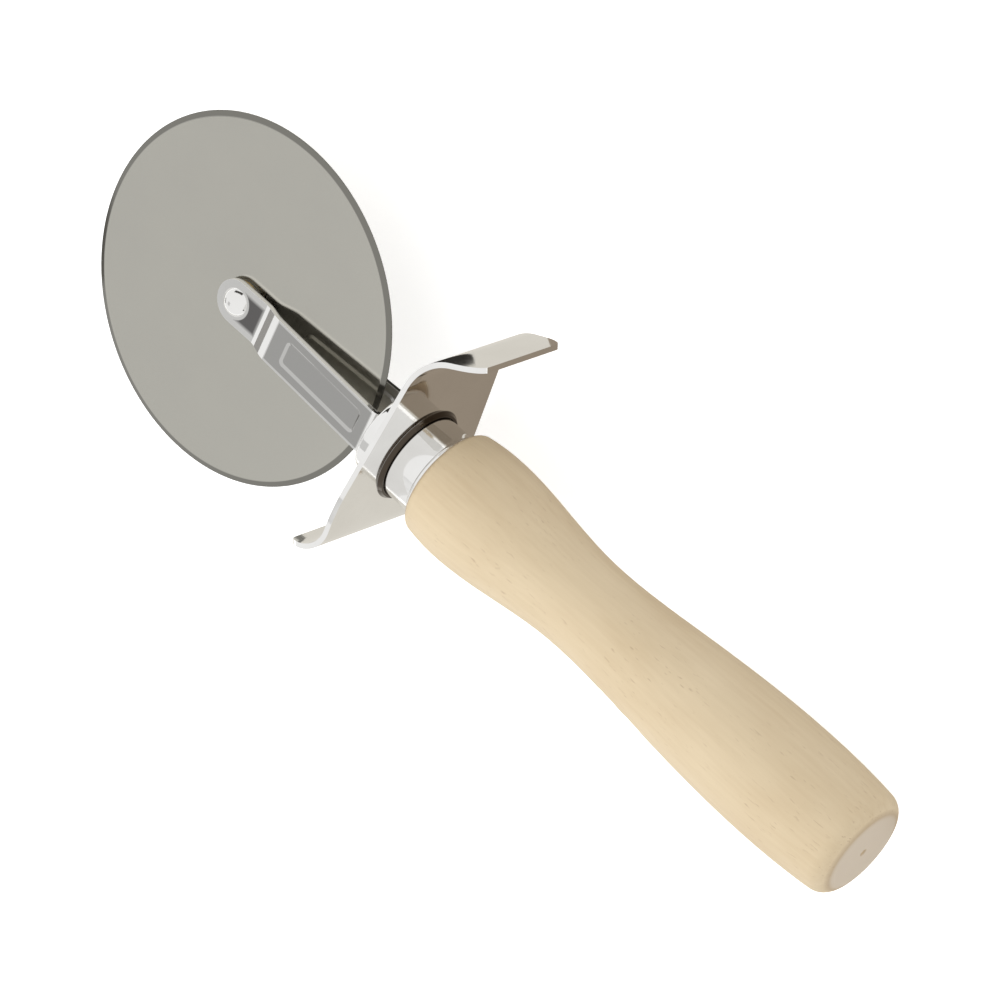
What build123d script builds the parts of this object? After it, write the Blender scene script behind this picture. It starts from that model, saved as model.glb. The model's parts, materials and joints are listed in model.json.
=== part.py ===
from build123d import *
import math
import os

# Driving dimensions, in millimetres and degrees
# Cutting wheel
wheel_diameter = 101.6
wheel_thickness = 1.2
bevel_width = 1.6
edge_land = 0.3
wheel_bore = 8.0

# Axle group
axle_diameter = 5.0
hub_length = 2.4
hub_flange_diameter = 11.0
washer_diameter = 11.0
washer_thickness = 0.6
rivet_head_diameter = 8.0
rivet_head_height = 2.4
burr_diameter = 10.0
burr_thickness = 0.8

# Fork arms
arm_width = 13.2
eye_width = 12.6
sheet = 1.5
joggle_step = 1.9
arm_splay = 2.7
joggle_start = 10.3
joggle_run = 4.7
bend_radius = 1.0
rim_gap = 4.2
panel_start = 20.5
panel_margin = 2.3
panel_end_margin = 3.5
panel_depth = 0.55
panel_corner = 2.0
tang_width = 10.0
tang_length = 58.0
barb_count = 3
barb_depth = 0.8
barb_run = 2.4
barb_pitch = 12.0
barb_clear = 8.0

# Ferrule
ferrule_diameter = 25.4
ferrule_wall = 0.9
ferrule_front_wall = 1.2
ferrule_length = 21.4
ferrule_front_round = 1.2
bead_width = 1.6
bead_height = 0.5

# Finger guard
guard_sheet = 1.5
guard_setback = 8.9
guard_half_width = 25.6
guard_widest_near = 9.0
guard_widest_far = 17.0
guard_side_round = 30.0
guard_corner = 3.6
thumb_flat = 27.7
thumb_bend_radius = 14.5
thumb_bend_angle = 63.0
thumb_flap = 9.9
thumb_end_half = 16.9
finger_flat = 18.5
finger_bend_radius = 13.4
finger_bend_angle = 62.5
finger_flap = 3.5
finger_end_half = 21.9
lip_height = 1.2

# Handle, with places from the shoulder behind the ferrule and cuts in from the round blank
handle_length = 149.8
blank_diameter = 33.2
shoulder_cut = 1.1
shoulder_round = 2.2
bulb_at = 10.9
waist_cut = 3.55
waist_at = 46.2
palm_cut = 2.15
palm_at = 80.3
swell_at = 128.1
butt_cut = 1.7
butt_round = 5.0
centre_mark_diameter = 2.4
centre_mark_depth = 1.0

# Ferrule brad
brad_diameter = 1.6
brad_length = 8.0
brad_head_diameter = 3.4
brad_head_height = 0.8
brad_setback = 3.6

# Clearances
running_clearance = 0.05
end_play = 0.05
snug = 0.02
slot_end_gap = 1.0
overcut = 1.0

# Places worked out from the sizes, with the wheel's centre at zero and +X towards the butt
wheel_radius = wheel_diameter / 2
axle_radius = axle_diameter / 2
ferrule_radius = ferrule_diameter / 2
hub_half = hub_length / 2
washer_inner = hub_half + end_play
eye_inner = washer_inner + washer_thickness
eye_outer = eye_inner + sheet
burr_outer = eye_outer + burr_thickness
joggle_end = joggle_start + joggle_run
neck_inner = eye_inner + joggle_step
foot_inner = neck_inner + arm_splay
foot_front = wheel_radius + rim_gap
ferrule_front = foot_front + sheet
tang_end = ferrule_front + tang_length
shoulder_x = ferrule_front + ferrule_length
butt_x = shoulder_x + handle_length
guard_x = ferrule_front + guard_setback
spigot_radius = ferrule_radius - ferrule_wall - snug
blank_radius = blank_diameter / 2
brad_x = shoulder_x - brad_setback


def ring(outer, inner, low, high):
    """A round washer-like solid on the wheel's axis between two heights."""
    height = high - low
    standing = (Align.CENTER, Align.CENTER, Align.MIN)
    bar = Cylinder(outer, height, align=standing)
    return Pos(0, 0, low) * (bar - Cylinder(inner, height, align=standing))


def turned(outline):
    """A solid turned about the handle's axis from a closed outline above that axis."""
    return revolve(outline, Axis.X, 360)


def rod_between(x_low, x_high, radius):
    """A round bar on the handle's axis between two stations."""
    return Pos(x_low, 0, 0) * Rot(0, 90, 0) * Cylinder(radius, x_high - x_low,
                                                       align=(Align.CENTER, Align.CENTER, Align.MIN))


def box_between(x_low, x_high, y_half, z_half):
    """A block centred on the handle's axis between two stations."""
    return Pos(x_low, 0, 0) * Box(x_high - x_low, 2 * y_half, 2 * z_half,
                                  align=(Align.MIN, Align.CENTER, Align.CENTER))


def dome(base_height, diameter, height):
    """A rivet head: a cap of a ball standing on a level plane."""
    radius = (diameter ** 2 / 4 + height ** 2) / (2 * height)
    ball = Pos(0, 0, base_height + height - radius) * Sphere(radius)
    keep = Pos(0, 0, base_height) * Cylinder(
        diameter, 2 * height, align=(Align.CENTER, Align.CENTER, Align.MIN))
    return ball & keep


# Cutting wheel: a disc ground to an edge from both sides
def make_cutting_wheel():
    half = wheel_thickness / 2
    bevel_start = wheel_radius - bevel_width
    with BuildSketch(Plane.XZ) as section:
        with BuildLine():
            Polyline(
                (wheel_bore / 2, -half), (bevel_start, -half), (wheel_radius, -edge_land / 2),
                (wheel_radius, edge_land / 2), (bevel_start, half), (wheel_bore / 2, half), close=True)
        make_face()
    return revolve(section.sketch, Axis.Z, 360)


# Bush: pressed into the wheel, with a flange on the front and its plain end spun over at the back
def make_wheel_bush():
    bore = axle_radius + running_clearance
    sleeve = ring(wheel_bore / 2, bore, -hub_half, hub_half)
    flange = ring(hub_flange_diameter / 2, bore, wheel_thickness / 2, hub_half)
    spun_end = ring(hub_flange_diameter / 2, bore, -hub_half, -wheel_thickness / 2)
    return sleeve + flange + spun_end


# Washers: one each side of the hub, seated on the arms
def make_washer(side):
    low, high = sorted((side * washer_inner, side * eye_inner))
    return ring(washer_diameter / 2, axle_radius + snug, low, high)


# Axle rivet: shank through both eyes, domed at the front and closed over the burr at the back
def make_axle_rivet():
    shank_length = eye_outer + burr_outer
    shank = Pos(0, 0, -burr_outer) * Cylinder(axle_radius, shank_length,
                                              align=(Align.CENTER, Align.CENTER, Align.MIN))
    front_head = dome(eye_outer, rivet_head_diameter, rivet_head_height)
    back_head = Rot(180, 0, 0) * dome(burr_outer, rivet_head_diameter, rivet_head_height)
    return shank + front_head + back_head


# Burr: the small plate that the rivet is closed over
def make_rivet_burr():
    return ring(burr_diameter / 2, axle_radius + snug, -burr_outer, -eye_outer)


# Fork arm: eye, joggle, splayed panelled run, foot turned in against the ferrule, and a barbed tang
def make_fork_arm():
    with BuildSketch(Plane.XZ) as side:
        with BuildLine():
            FilletPolyline(
                (-eye_width / 2, eye_inner), (joggle_start, eye_inner), (joggle_end, neck_inner),
                (foot_front, foot_inner), (foot_front, 0), (tang_end, 0), radius=bend_radius)
            offset(amount=sheet, side=Side.LEFT)
        make_face()
    strip = extrude(side.sketch, amount=arm_width / 2, both=True)
    with BuildSketch() as plan:
        Circle(eye_width / 2)
        with Locations((joggle_start / 2, 0)):
            Rectangle(joggle_start, eye_width)
        with Locations(((joggle_start + ferrule_front) / 2, 0)):
            Rectangle(ferrule_front - joggle_start, arm_width)
        with Locations(((ferrule_front + tang_end) / 2, 0)):
            Rectangle(tang_end - ferrule_front, tang_width)
    arm = strip & extrude(plan.sketch, amount=foot_inner + 2 * sheet)
    arm = press_panel(arm)
    arm -= Pos(0, 0, eye_inner) * Cylinder(axle_radius + snug, 2 * (sheet + overcut))
    for number in range(barb_count):
        arm -= barb_notches(tang_end - barb_clear - number * barb_pitch)
    return arm


# Pressed panel: sunk in the outer face of the splayed run and standing out of its inner face
def press_panel(arm):
    run = foot_front - joggle_end
    splay = math.atan2(arm_splay, run)
    panel_length = foot_front - panel_end_margin - panel_start
    middle_x = panel_start + panel_length / 2
    middle_z = neck_inner + (middle_x - joggle_end) * math.tan(splay)
    along = Vector(math.cos(splay), 0, math.sin(splay))
    outwards = Vector(-math.sin(splay), 0, math.cos(splay))
    inner_face = Plane(origin=(middle_x, 0, middle_z), x_dir=along, z_dir=outwards)
    panel_width = arm_width - 2 * panel_margin
    with BuildSketch(inner_face.offset(sheet - panel_depth)) as hollow:
        RectangleRounded(panel_length, panel_width, panel_corner)
    with BuildSketch(inner_face.offset(-panel_depth)) as swelling:
        RectangleRounded(panel_length - sheet, panel_width - sheet, panel_corner - sheet / 2)
    arm -= extrude(hollow.sketch, amount=sheet)
    return arm + extrude(swelling.sketch, amount=panel_depth)


# Barb notches: a pair of saw-tooth nicks in the tang's edges at one station
def barb_notches(notch_x):
    depth_line = tang_width / 2 - barb_depth
    with BuildSketch() as nicks:
        for edge in (1, -1):
            with BuildLine():
                Polyline((notch_x, edge * tang_width / 2), (notch_x, edge * depth_line),
                         (notch_x + barb_run, edge * tang_width / 2), close=True)
            make_face()
    return extrude(nicks.sketch, amount=sheet)


# Ferrule: a drawn cup over the handle's spigot, slotted at the front for the tangs
def make_ferrule():
    inner = ferrule_radius - ferrule_wall
    with BuildSketch() as section:
        with BuildLine():
            front = ferrule_front
            round_end = front + ferrule_front_round
            Line((front, 0), (front, ferrule_radius - ferrule_front_round))
            RadiusArc((front, ferrule_radius - ferrule_front_round), (round_end, ferrule_radius),
                      ferrule_front_round)
            Polyline((round_end, ferrule_radius), (shoulder_x, ferrule_radius), (shoulder_x, inner),
                     (front + ferrule_front_wall, inner), (front + ferrule_front_wall, 0), (front, 0))
        make_face()
    cup = turned(section.sketch)
    with BuildSketch() as bead_section:
        with BuildLine():
            bead_x = shoulder_x - bead_width
            ThreePointArc((bead_x, ferrule_radius), (bead_x + bead_width / 2, ferrule_radius + bead_height),
                          (shoulder_x, ferrule_radius))
            Line((shoulder_x, ferrule_radius), (bead_x, ferrule_radius))
        make_face()
    cup += turned(bead_section.sketch)
    cup -= box_between(ferrule_front - overcut, ferrule_front + ferrule_front_wall + overcut,
                       tang_width / 2 + snug, sheet + snug)
    return cup - Pos(brad_x, 0, -ferrule_radius) * Cylinder(
        brad_diameter / 2 + snug, 2 * (ferrule_wall + overcut))


# Fold: the corner of a guard end's bend and the end of the flap beyond it, on the plate's front face
def fold(side, flat, radius, angle, flap):
    turn = math.radians(angle)
    corner_setback = radius * math.tan(turn / 2)
    corner = flat + corner_setback
    run = corner_setback + flap
    tip = corner + run * math.cos(turn)
    return (guard_x, side * corner), (guard_x + side * run * math.sin(turn), side * tip)


# How far each folded end reaches: the back face of the forward flap lies outside its front face
thumb_corner, thumb_tip = fold(1, thumb_flat, thumb_bend_radius, thumb_bend_angle, thumb_flap)
finger_corner, finger_tip = fold(-1, finger_flat, finger_bend_radius, finger_bend_angle, finger_flap)
thumb_reach = thumb_tip[1]
finger_reach = -finger_tip[1] + guard_sheet * math.sin(math.radians(finger_bend_angle))


# Finger guard: a broad plate with one end folded back and one folded forward, cut to its plan,
# with a collar drawn out of its hole round the ferrule
def make_finger_guard():
    middle = (guard_x, 0)
    with BuildSketch() as bend:
        with BuildLine():
            FilletPolyline(finger_tip, finger_corner, middle, radius=finger_bend_radius)
            FilletPolyline(middle, thumb_corner, thumb_tip, radius=thumb_bend_radius)
            offset(amount=guard_sheet, side=Side.RIGHT)
        make_face()
    plate = extrude(bend.sketch, amount=guard_half_width, both=True)
    plate &= extrude(guard_plan(), amount=butt_x)
    hole = ferrule_radius + snug
    lip_back = guard_x + guard_sheet + lip_height
    lip = rod_between(guard_x, lip_back, hole + guard_sheet)
    return plate + lip - rod_between(guard_x - overcut, lip_back + overcut, hole)


# Guard plan: the outline seen along the handle, widest on the finger side and tapered to both ends
def guard_plan():
    stations = [(thumb_reach, thumb_end_half), (-guard_widest_near, guard_half_width),
                (-guard_widest_far, guard_half_width), (-finger_reach, finger_end_half)]
    far_side = [(place, -half) for place, half in reversed(stations)]
    with BuildSketch(Plane.YZ) as plan:
        with BuildLine():
            Polyline(*stations, *far_side, close=True)
        make_face()
        across = plan.vertices().group_by(Axis.Y)
        fillet(across[0] + across[-1], guard_side_round)
        along = plan.vertices().group_by(Axis.X)
        fillet(along[0] + along[-1], guard_corner)
    return plan.sketch


# Handle: turned wood with a spigot for the ferrule and a blind slot for the tangs
def make_handle():
    spigot_front = ferrule_front + ferrule_front_wall + snug
    with BuildSketch() as section:
        with BuildLine():
            shoulder = (shoulder_x, blank_radius - shoulder_cut)
            butt_edge = (butt_x, blank_radius - butt_cut)
            Polyline(butt_edge, (butt_x, 0), (spigot_front, 0), (spigot_front, spigot_radius),
                     (shoulder_x, spigot_radius), shoulder)
            Spline(
                shoulder,
                (shoulder_x + bulb_at, blank_radius),
                (shoulder_x + waist_at, blank_radius - waist_cut),
                (shoulder_x + palm_at, blank_radius - palm_cut),
                (shoulder_x + swell_at, blank_radius),
                butt_edge)
        make_face()
        outer_corners = section.vertices().sort_by(Axis.Y)[-2:].sort_by(Axis.X)
        fillet(outer_corners[0], shoulder_round)
        fillet(section.vertices().sort_by(Axis.X)[-2:].sort_by(Axis.Y)[-1], butt_round)
    wood = turned(section.sketch)
    slot_end = tang_end + slot_end_gap
    wood -= box_between(spigot_front - overcut, slot_end, tang_width / 2 + snug, sheet + snug)
    mark = Pos(butt_x - centre_mark_depth, 0, 0) * Rot(0, 90, 0) * Cone(
        0, centre_mark_diameter / 2, centre_mark_depth, align=(Align.CENTER, Align.CENTER, Align.MIN))
    pilot = Pos(brad_x, 0, -ferrule_radius) * Cylinder(
        brad_diameter / 2 + snug, brad_length, align=(Align.CENTER, Align.CENTER, Align.MIN))
    return wood - mark - pilot


# Brad: a small nail through the underside of the ferrule into the spigot
def make_ferrule_brad():
    shank = Pos(brad_x, 0, -ferrule_radius) * Cylinder(
        brad_diameter / 2, brad_length - snug, align=(Align.CENTER, Align.CENTER, Align.MIN))
    head = Pos(brad_x, 0, -ferrule_radius - brad_head_height) * Cylinder(
        brad_head_diameter / 2, brad_head_height * 2, align=(Align.CENTER, Align.CENTER, Align.MIN))
    barrel = rod_between(brad_x - brad_head_diameter, brad_x + brad_head_diameter, ferrule_radius + snug)
    return shank + (head - barrel)


front_arm = make_fork_arm()
pieces = {
    "cutting_wheel": make_cutting_wheel(),
    "wheel_bush": make_wheel_bush(),
    "front_washer": make_washer(1),
    "rear_washer": make_washer(-1),
    "axle_rivet": make_axle_rivet(),
    "rivet_burr": make_rivet_burr(),
    "front_fork_arm": front_arm,
    "rear_fork_arm": Rot(180, 0, 0) * front_arm,
    "finger_guard": make_finger_guard(),
    "ferrule": make_ferrule(),
    "ferrule_brad": make_ferrule_brad(),
    "handle": make_handle(),
}

# The finished part lies on its lowest side with its box centred on the origin
lowest = max(guard_half_width, blank_radius)
highest_y = max(wheel_radius, thumb_reach)
lowest_y = max(wheel_radius, finger_reach)
origin_shift = Location((-(butt_x - wheel_radius) / 2, (lowest_y - highest_y) / 2, lowest))

os.makedirs("parts", exist_ok=True)
for name, piece in pieces.items():
    export_step(origin_shift * piece, f"parts/{name}.step")
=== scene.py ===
"""Looks of the pizza wheel: its finishes, its finer pieces, the studio and the camera."""

from __future__ import annotations

import json
import logging
import math
from dataclasses import dataclass
from enum import Enum
from functools import reduce
from itertools import pairwise
from typing import Any, Callable, Sequence

import bmesh
import bpy
from mathutils import Euler, Matrix, Quaternion, Vector

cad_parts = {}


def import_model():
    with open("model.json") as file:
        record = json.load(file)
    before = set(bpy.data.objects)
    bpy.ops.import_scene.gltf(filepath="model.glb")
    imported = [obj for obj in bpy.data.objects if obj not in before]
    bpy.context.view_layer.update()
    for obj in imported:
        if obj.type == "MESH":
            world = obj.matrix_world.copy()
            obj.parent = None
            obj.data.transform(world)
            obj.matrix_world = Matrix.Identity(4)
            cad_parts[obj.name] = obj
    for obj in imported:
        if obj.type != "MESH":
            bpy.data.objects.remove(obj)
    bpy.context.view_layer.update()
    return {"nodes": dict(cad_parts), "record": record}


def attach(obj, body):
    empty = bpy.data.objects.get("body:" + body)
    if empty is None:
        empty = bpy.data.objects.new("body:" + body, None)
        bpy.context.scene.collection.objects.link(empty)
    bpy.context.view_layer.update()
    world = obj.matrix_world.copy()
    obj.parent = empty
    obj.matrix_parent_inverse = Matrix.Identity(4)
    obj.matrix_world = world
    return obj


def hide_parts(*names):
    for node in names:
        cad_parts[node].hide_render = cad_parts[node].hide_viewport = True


LOG = logging.getLogger("pizza_wheel")

# Lengths in the classes are millimetres, apart from the studio's, and Blender's are metres.
MM = 0.001
PER_MM = 1.0 / MM

# How near points lie that are one point, one row, or the point that is looked for.
WELD = 0.002 * MM
SAME_ROW = 0.004 * MM
NEAR = 0.01 * MM

# How finely holes, collars and rounded edges are stepped, and how the surfaces are shaded.
ROUND_STEPS = 128
EDGE_STEPS = 3
SHARP_ANGLE = 38.0
SMOOTH_ANGLE = 32.0
FLAT_WEIGHT = 100

ALONG = Vector((1.0, 0.0, 0.0)).freeze()
UP = Vector((0.0, 0.0, 1.0)).freeze()
WHITE = (1.0, 1.0, 1.0, 1.0)

Colour = tuple[float, float, float]
Place = tuple[float, float, float]
Pair = tuple[float, float]
Material = bpy.types.Material
Node = bpy.types.Node
Socket = bpy.types.NodeSocket
Inputs = dict[str | int, Any]


class Slot(Enum):
    """The finishes that the record names."""

    BLADE_STEEL = "blade_steel"
    BRIGHT_PLATE = "bright_plate"
    PLAIN_STEEL = "plain_steel"
    BUSH_BRASS = "bush_brass"
    PALE_WOOD = "pale_wood"


class Body(Enum):
    """The two bodies of the tool, one turning in the other."""

    HEAD = "head_and_handle"
    BLADE = "blade"


class Pick(Enum):
    """What a selection picks."""

    POINT = "VERT"
    EDGE = "EDGE"
    FACE = "FACE"


@dataclass(frozen=True)
class Layout:
    """Places that several pieces share, in the part's frame."""

    axle_x: float = -88.45
    axis_y: float = 0.0
    axis_z: float = 25.6
    shoulder_x: float = -10.55
    butt_x: float = 139.25

    @property
    def axle(self) -> Vector:
        """Give the middle of the axle, in metres."""
        return self.point(0.0, 0.0, 0.0)

    def point(self, along: float, across: float, up: float) -> Vector:
        """Give the place of a point that is counted from the axle, in metres."""
        return Vector((self.axle_x + along, self.axis_y + across, self.axis_z + up)) * MM


class NodeBench:
    """Adds and joins the nodes of one shader tree."""

    def __init__(self, tree: bpy.types.NodeTree) -> None:
        """Take a tree to work on."""
        self.tree = tree

    def feed(self, node: Node, inputs: Inputs) -> None:
        """Fill the sockets of a node.

        Args:
            node: The node.
            inputs: Values by a socket's name or number; a socket is linked, the rest is set.
        """
        for key, value in inputs.items():
            if isinstance(value, Socket):
                self.tree.links.new(value, node.inputs[key])
            else:
                node.inputs[key].default_value = value

    def add(self, kind: str, inputs: Inputs | None = None, **settings: Any) -> Node:
        """Add one node.

        Args:
            kind: Blender's name for the node type.
            inputs: What its sockets take, as in feed.
            settings: Properties of the node itself.

        Returns:
            The new node.
        """
        node = self.tree.nodes.new(kind)
        for name, value in settings.items():
            setattr(node, name, value)
        self.feed(node, inputs or {})
        return node

    def coordinates(self) -> Socket:
        """Give the place on the surface, in the part's own frame."""
        return self.add("ShaderNodeTexCoord").outputs["Object"]

    def ramp(self, factor: Socket, stops: Sequence[tuple[float, Colour]]) -> Socket:
        """Turn a value into a colour.

        Args:
            factor: The value, from 0 to 1.
            stops: Places along the ramp with their colours, in rising order.

        Returns:
            The colour socket.
        """
        node = self.add("ShaderNodeValToRGB", {"Fac": factor})
        elements = node.color_ramp.elements
        while len(elements) < len(stops):
            elements.new(1.0)
        for element, (place, colour) in zip(elements, stops):
            element.position = place
            element.color = (*colour, 1.0)
        return node.outputs["Color"]

    def spread(self, value: Socket, old: Pair, new: Pair) -> Socket:
        """Stretch a value from an old range to a new one and hold it at the ends."""
        return self.add("ShaderNodeMapRange", {
            "Value": value, "From Min": old[0], "From Max": old[1],
            "To Min": new[0], "To Max": new[1]}).outputs["Result"]

    def blend(self, mask: Socket, under: Socket, over: Colour) -> Socket:
        """Lay a colour over another where a mask says so.

        Args:
            mask: How much of the upper colour shows, from 0 to 1.
            under: The lower colour.
            over: The upper colour.

        Returns:
            The blended colour.
        """
        node = self.add("ShaderNodeMix", {"Factor": mask}, data_type="RGBA")
        colours = [socket for socket in node.inputs if socket.type == "RGBA"]
        self.tree.links.new(under, colours[0])
        colours[1].default_value = (*over, 1.0)
        return next(socket for socket in node.outputs if socket.type == "RGBA")

    def calc(self, operation: str, *values: Socket | float) -> Socket:
        """Work out a value from one or two others, by Blender's name for the sum."""
        inputs = dict(enumerate(values))
        return self.add("ShaderNodeMath", inputs, operation=operation).outputs["Value"]

    def rise(self, value: Socket, low: float, fade: float) -> Socket:
        """Mask what lies above a value, with a fade below it."""
        return self.spread(value, (low - fade, low), (0.0, 1.0))

    def fall(self, value: Socket, high: float, fade: float) -> Socket:
        """Mask what lies below a value, with a fade above it."""
        return self.spread(value, (high, high + fade), (1.0, 0.0))

    def between(self, value: Socket, low: float, high: float, fade: float) -> Socket:
        """Mask what lies between two values, with a fade outside each."""
        return self.overlap(self.rise(value, low, fade), self.fall(value, high, fade))

    def overlap(self, *masks: Socket) -> Socket:
        """Mask what every given mask covers."""
        return reduce(lambda joint, mask: self.calc("MINIMUM", joint, mask), masks)


class SharedGroup:
    """A shader group that several finishes share, built the first time that one places it."""

    NAME: str
    INPUTS: tuple[str, ...]
    INPUT_KIND: str
    OUTPUTS: tuple[str, ...]

    @classmethod
    def place(cls, bench: NodeBench, inputs: Inputs) -> Node:
        """Place the group in a finish.

        Args:
            bench: The finish's tree.
            inputs: The finish's own values, by name.

        Returns:
            The group's node.
        """
        tree = bpy.data.node_groups.get(cls.NAME)
        if tree is None:
            tree = bpy.data.node_groups.new(cls.NAME, "ShaderNodeTree")
            for name in cls.INPUTS:
                tree.interface.new_socket(name, in_out="INPUT", socket_type=cls.INPUT_KIND)
            for name in cls.OUTPUTS:
                tree.interface.new_socket(name, in_out="OUTPUT", socket_type="NodeSocketFloat")
            cls.fill(NodeBench(tree))
        return bench.add("ShaderNodeGroup", inputs, node_tree=tree)

    @classmethod
    def fill(cls, bench: NodeBench) -> None:
        """Fill the new group with its nodes; each group has its own."""
        raise NotImplementedError


class HandlingMarks(SharedGroup):
    """The faint smudges and fine scratches of a used metal tool."""

    NAME = "handling_marks"
    INPUTS = ("Smudge Scale", "Scratch Scale")
    INPUT_KIND = "NodeSocketFloat"
    OUTPUTS = ("Smudge", "Scratch")
    SMUDGE_DETAIL = 5.0
    SMUDGE_ROUGHNESS = 0.62
    SMUDGE_RANGE = (0.35, 0.7)
    SCRATCH_DETAIL = 2.0
    SCRATCH_TURN = (0.2, 0.1, 0.5)
    SCRATCH_STRETCH = (0.05, 1.0, 1.0)

    @classmethod
    def fill(cls, bench: NodeBench) -> None:
        """Make a smudge mask and a scratch height.

        Args:
            bench: The group's tree.
        """
        given = bench.add("NodeGroupInput").outputs
        place = bench.coordinates()
        cloud = bench.add("ShaderNodeTexNoise", {
            "Vector": place, "Scale": given["Smudge Scale"],
            "Detail": cls.SMUDGE_DETAIL, "Roughness": cls.SMUDGE_ROUGHNESS})
        stretched = bench.add("ShaderNodeMapping", {
            "Vector": place, "Rotation": cls.SCRATCH_TURN, "Scale": cls.SCRATCH_STRETCH})
        lines = bench.add("ShaderNodeTexNoise", {
            "Vector": stretched.outputs["Vector"], "Scale": given["Scratch Scale"],
            "Detail": cls.SCRATCH_DETAIL})
        bench.add("NodeGroupOutput", {
            "Smudge": bench.spread(cloud.outputs["Fac"], cls.SMUDGE_RANGE, (0.0, 1.0)),
            "Scratch": lines.outputs["Fac"]})


class AxisDistance(SharedGroup):
    """How far a point of the surface lies from a straight axis, in millimetres."""

    NAME = "axis_distance"
    INPUTS = ("Axis Point", "Across Axis")
    INPUT_KIND = "NodeSocketVector"
    OUTPUTS = ("Distance",)

    @classmethod
    def fill(cls, bench: NodeBench) -> None:
        """Measure the distance.

        Args:
            bench: The group's tree.
        """
        given = bench.add("NodeGroupInput").outputs
        place = bench.coordinates()
        for operation, name in zip(("SUBTRACT", "MULTIPLY"), cls.INPUTS):
            node = bench.add(
                "ShaderNodeVectorMath", {0: place, 1: given[name]}, operation=operation)
            place = node.outputs["Vector"]
        length = bench.add("ShaderNodeVectorMath", {0: place}, operation="LENGTH")
        distance = bench.calc("MULTIPLY", length.outputs["Value"], PER_MM)
        bench.add("NodeGroupOutput", {"Distance": distance})

    @classmethod
    def reach(cls, bench: NodeBench, point: Vector, across: Place) -> Socket:
        """Give the distance from an axis through a point; across is 1 square to it, 0 along it."""
        node = cls.place(bench, {"Axis Point": point, "Across Axis": across})
        return node.outputs["Distance"]


def start_material(name: str) -> tuple[Material, NodeBench]:
    """Start a material that has a plain Principled shader.

    Args:
        name: The material's name.

    Returns:
        The material, and the bench to work on it.
    """
    material = bpy.data.materials.new(name)
    material.use_nodes = True
    return material, NodeBench(material.node_tree)


@dataclass(frozen=True)
class MetalFinish:
    """A metal: its colour and roughness, each clean and worn, and the scratches of handling."""

    slot: Slot
    colour: Colour
    worn_colour: Colour
    roughness: Pair
    scratch_height: float
    scratch_strength: float = 0.4
    smudge_scale: float = 40.0
    scratch_scale: float = 900.0

    def material(self) -> Material:
        """Build the material.

        Returns:
            The new material, named for its slot.
        """
        material, bench = start_material(self.slot.value)
        marks = HandlingMarks.place(bench, {
            "Smudge Scale": self.smudge_scale, "Scratch Scale": self.scratch_scale}).outputs
        smudge = marks["Smudge"]
        colour = bench.ramp(smudge, [(0.0, self.colour), (1.0, self.worn_colour)])
        roughness = bench.spread(smudge, (0.0, 1.0), self.roughness)
        colour, roughness = self.tint(bench, colour, roughness)
        bump = bench.add("ShaderNodeBump", {
            "Strength": self.scratch_strength, "Distance": self.scratch_height * MM,
            "Height": marks["Scratch"]})
        bench.feed(bench.tree.nodes["Principled BSDF"], {
            "Base Color": colour, "Roughness": roughness,
            "Normal": bump.outputs["Normal"], "Metallic": 1.0})
        return material

    def tint(self, bench: NodeBench, colour: Socket, roughness: Socket) -> tuple[Socket, Socket]:
        """Change colour and roughness from place to place; a plain metal keeps them."""
        return colour, roughness


@dataclass(frozen=True)
class PaintedRimBlade(MetalFinish):
    """The blade's steel, with its ground bevel's dark reflection painted on as a darker band."""

    layout: Layout = Layout()
    # Painted reflection: the dark band on the ground bevel stands in for what the bevel reflects.
    rim_reflection_start: float = 49.0
    rim_reflection_fade: float = 0.35
    rim_reflection_colour: Colour = (0.2, 0.195, 0.175)

    def tint(self, bench: NodeBench, colour: Socket, roughness: Socket) -> tuple[Socket, Socket]:
        """Paint the ground bevel's dark reflection as a darker band, and keep the roughness."""
        band = bench.rise(
            AxisDistance.reach(bench, self.layout.axle, (1.0, 1.0, 0.0)),
            self.rim_reflection_start + self.rim_reflection_fade, self.rim_reflection_fade)
        return bench.blend(band, colour, self.rim_reflection_colour), roughness


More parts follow.
